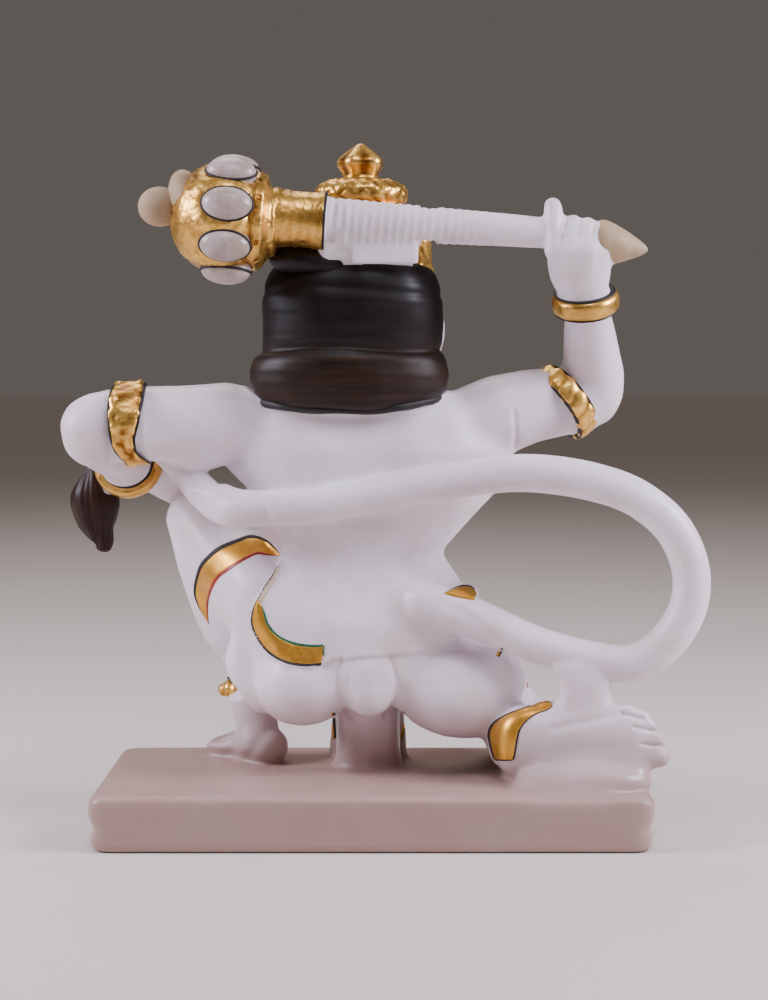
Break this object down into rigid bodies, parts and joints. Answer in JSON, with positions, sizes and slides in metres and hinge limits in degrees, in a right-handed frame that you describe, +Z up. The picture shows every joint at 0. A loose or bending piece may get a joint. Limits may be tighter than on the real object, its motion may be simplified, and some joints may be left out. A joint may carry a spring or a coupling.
{
  "type": "kneeling hanuman figure",
  "caption": "Kneeling monkey-god figure with a mace over its shoulders and a looped tail, carved in one with a moulded rectangular plinth, gilded and painted in parts.",
  "frame": {"origin": "the middle of the plinth's flat underside", "axes": "+Z up, -Y the way the figure faces, +X towards the figure's own left and along the plinth's length"},
  "size_m": [0.3627, 0.1622, 0.381],
  "materials": {
    "marble": "honed white marble",
    "gold_leaf": "gold leaf laid on the marble",
    "hair_paint": "dark brown paint on the marble"
  },
  "bodies": {
    "root": {"hanuman_figure": "marble"}
  },
  "joints": []
}
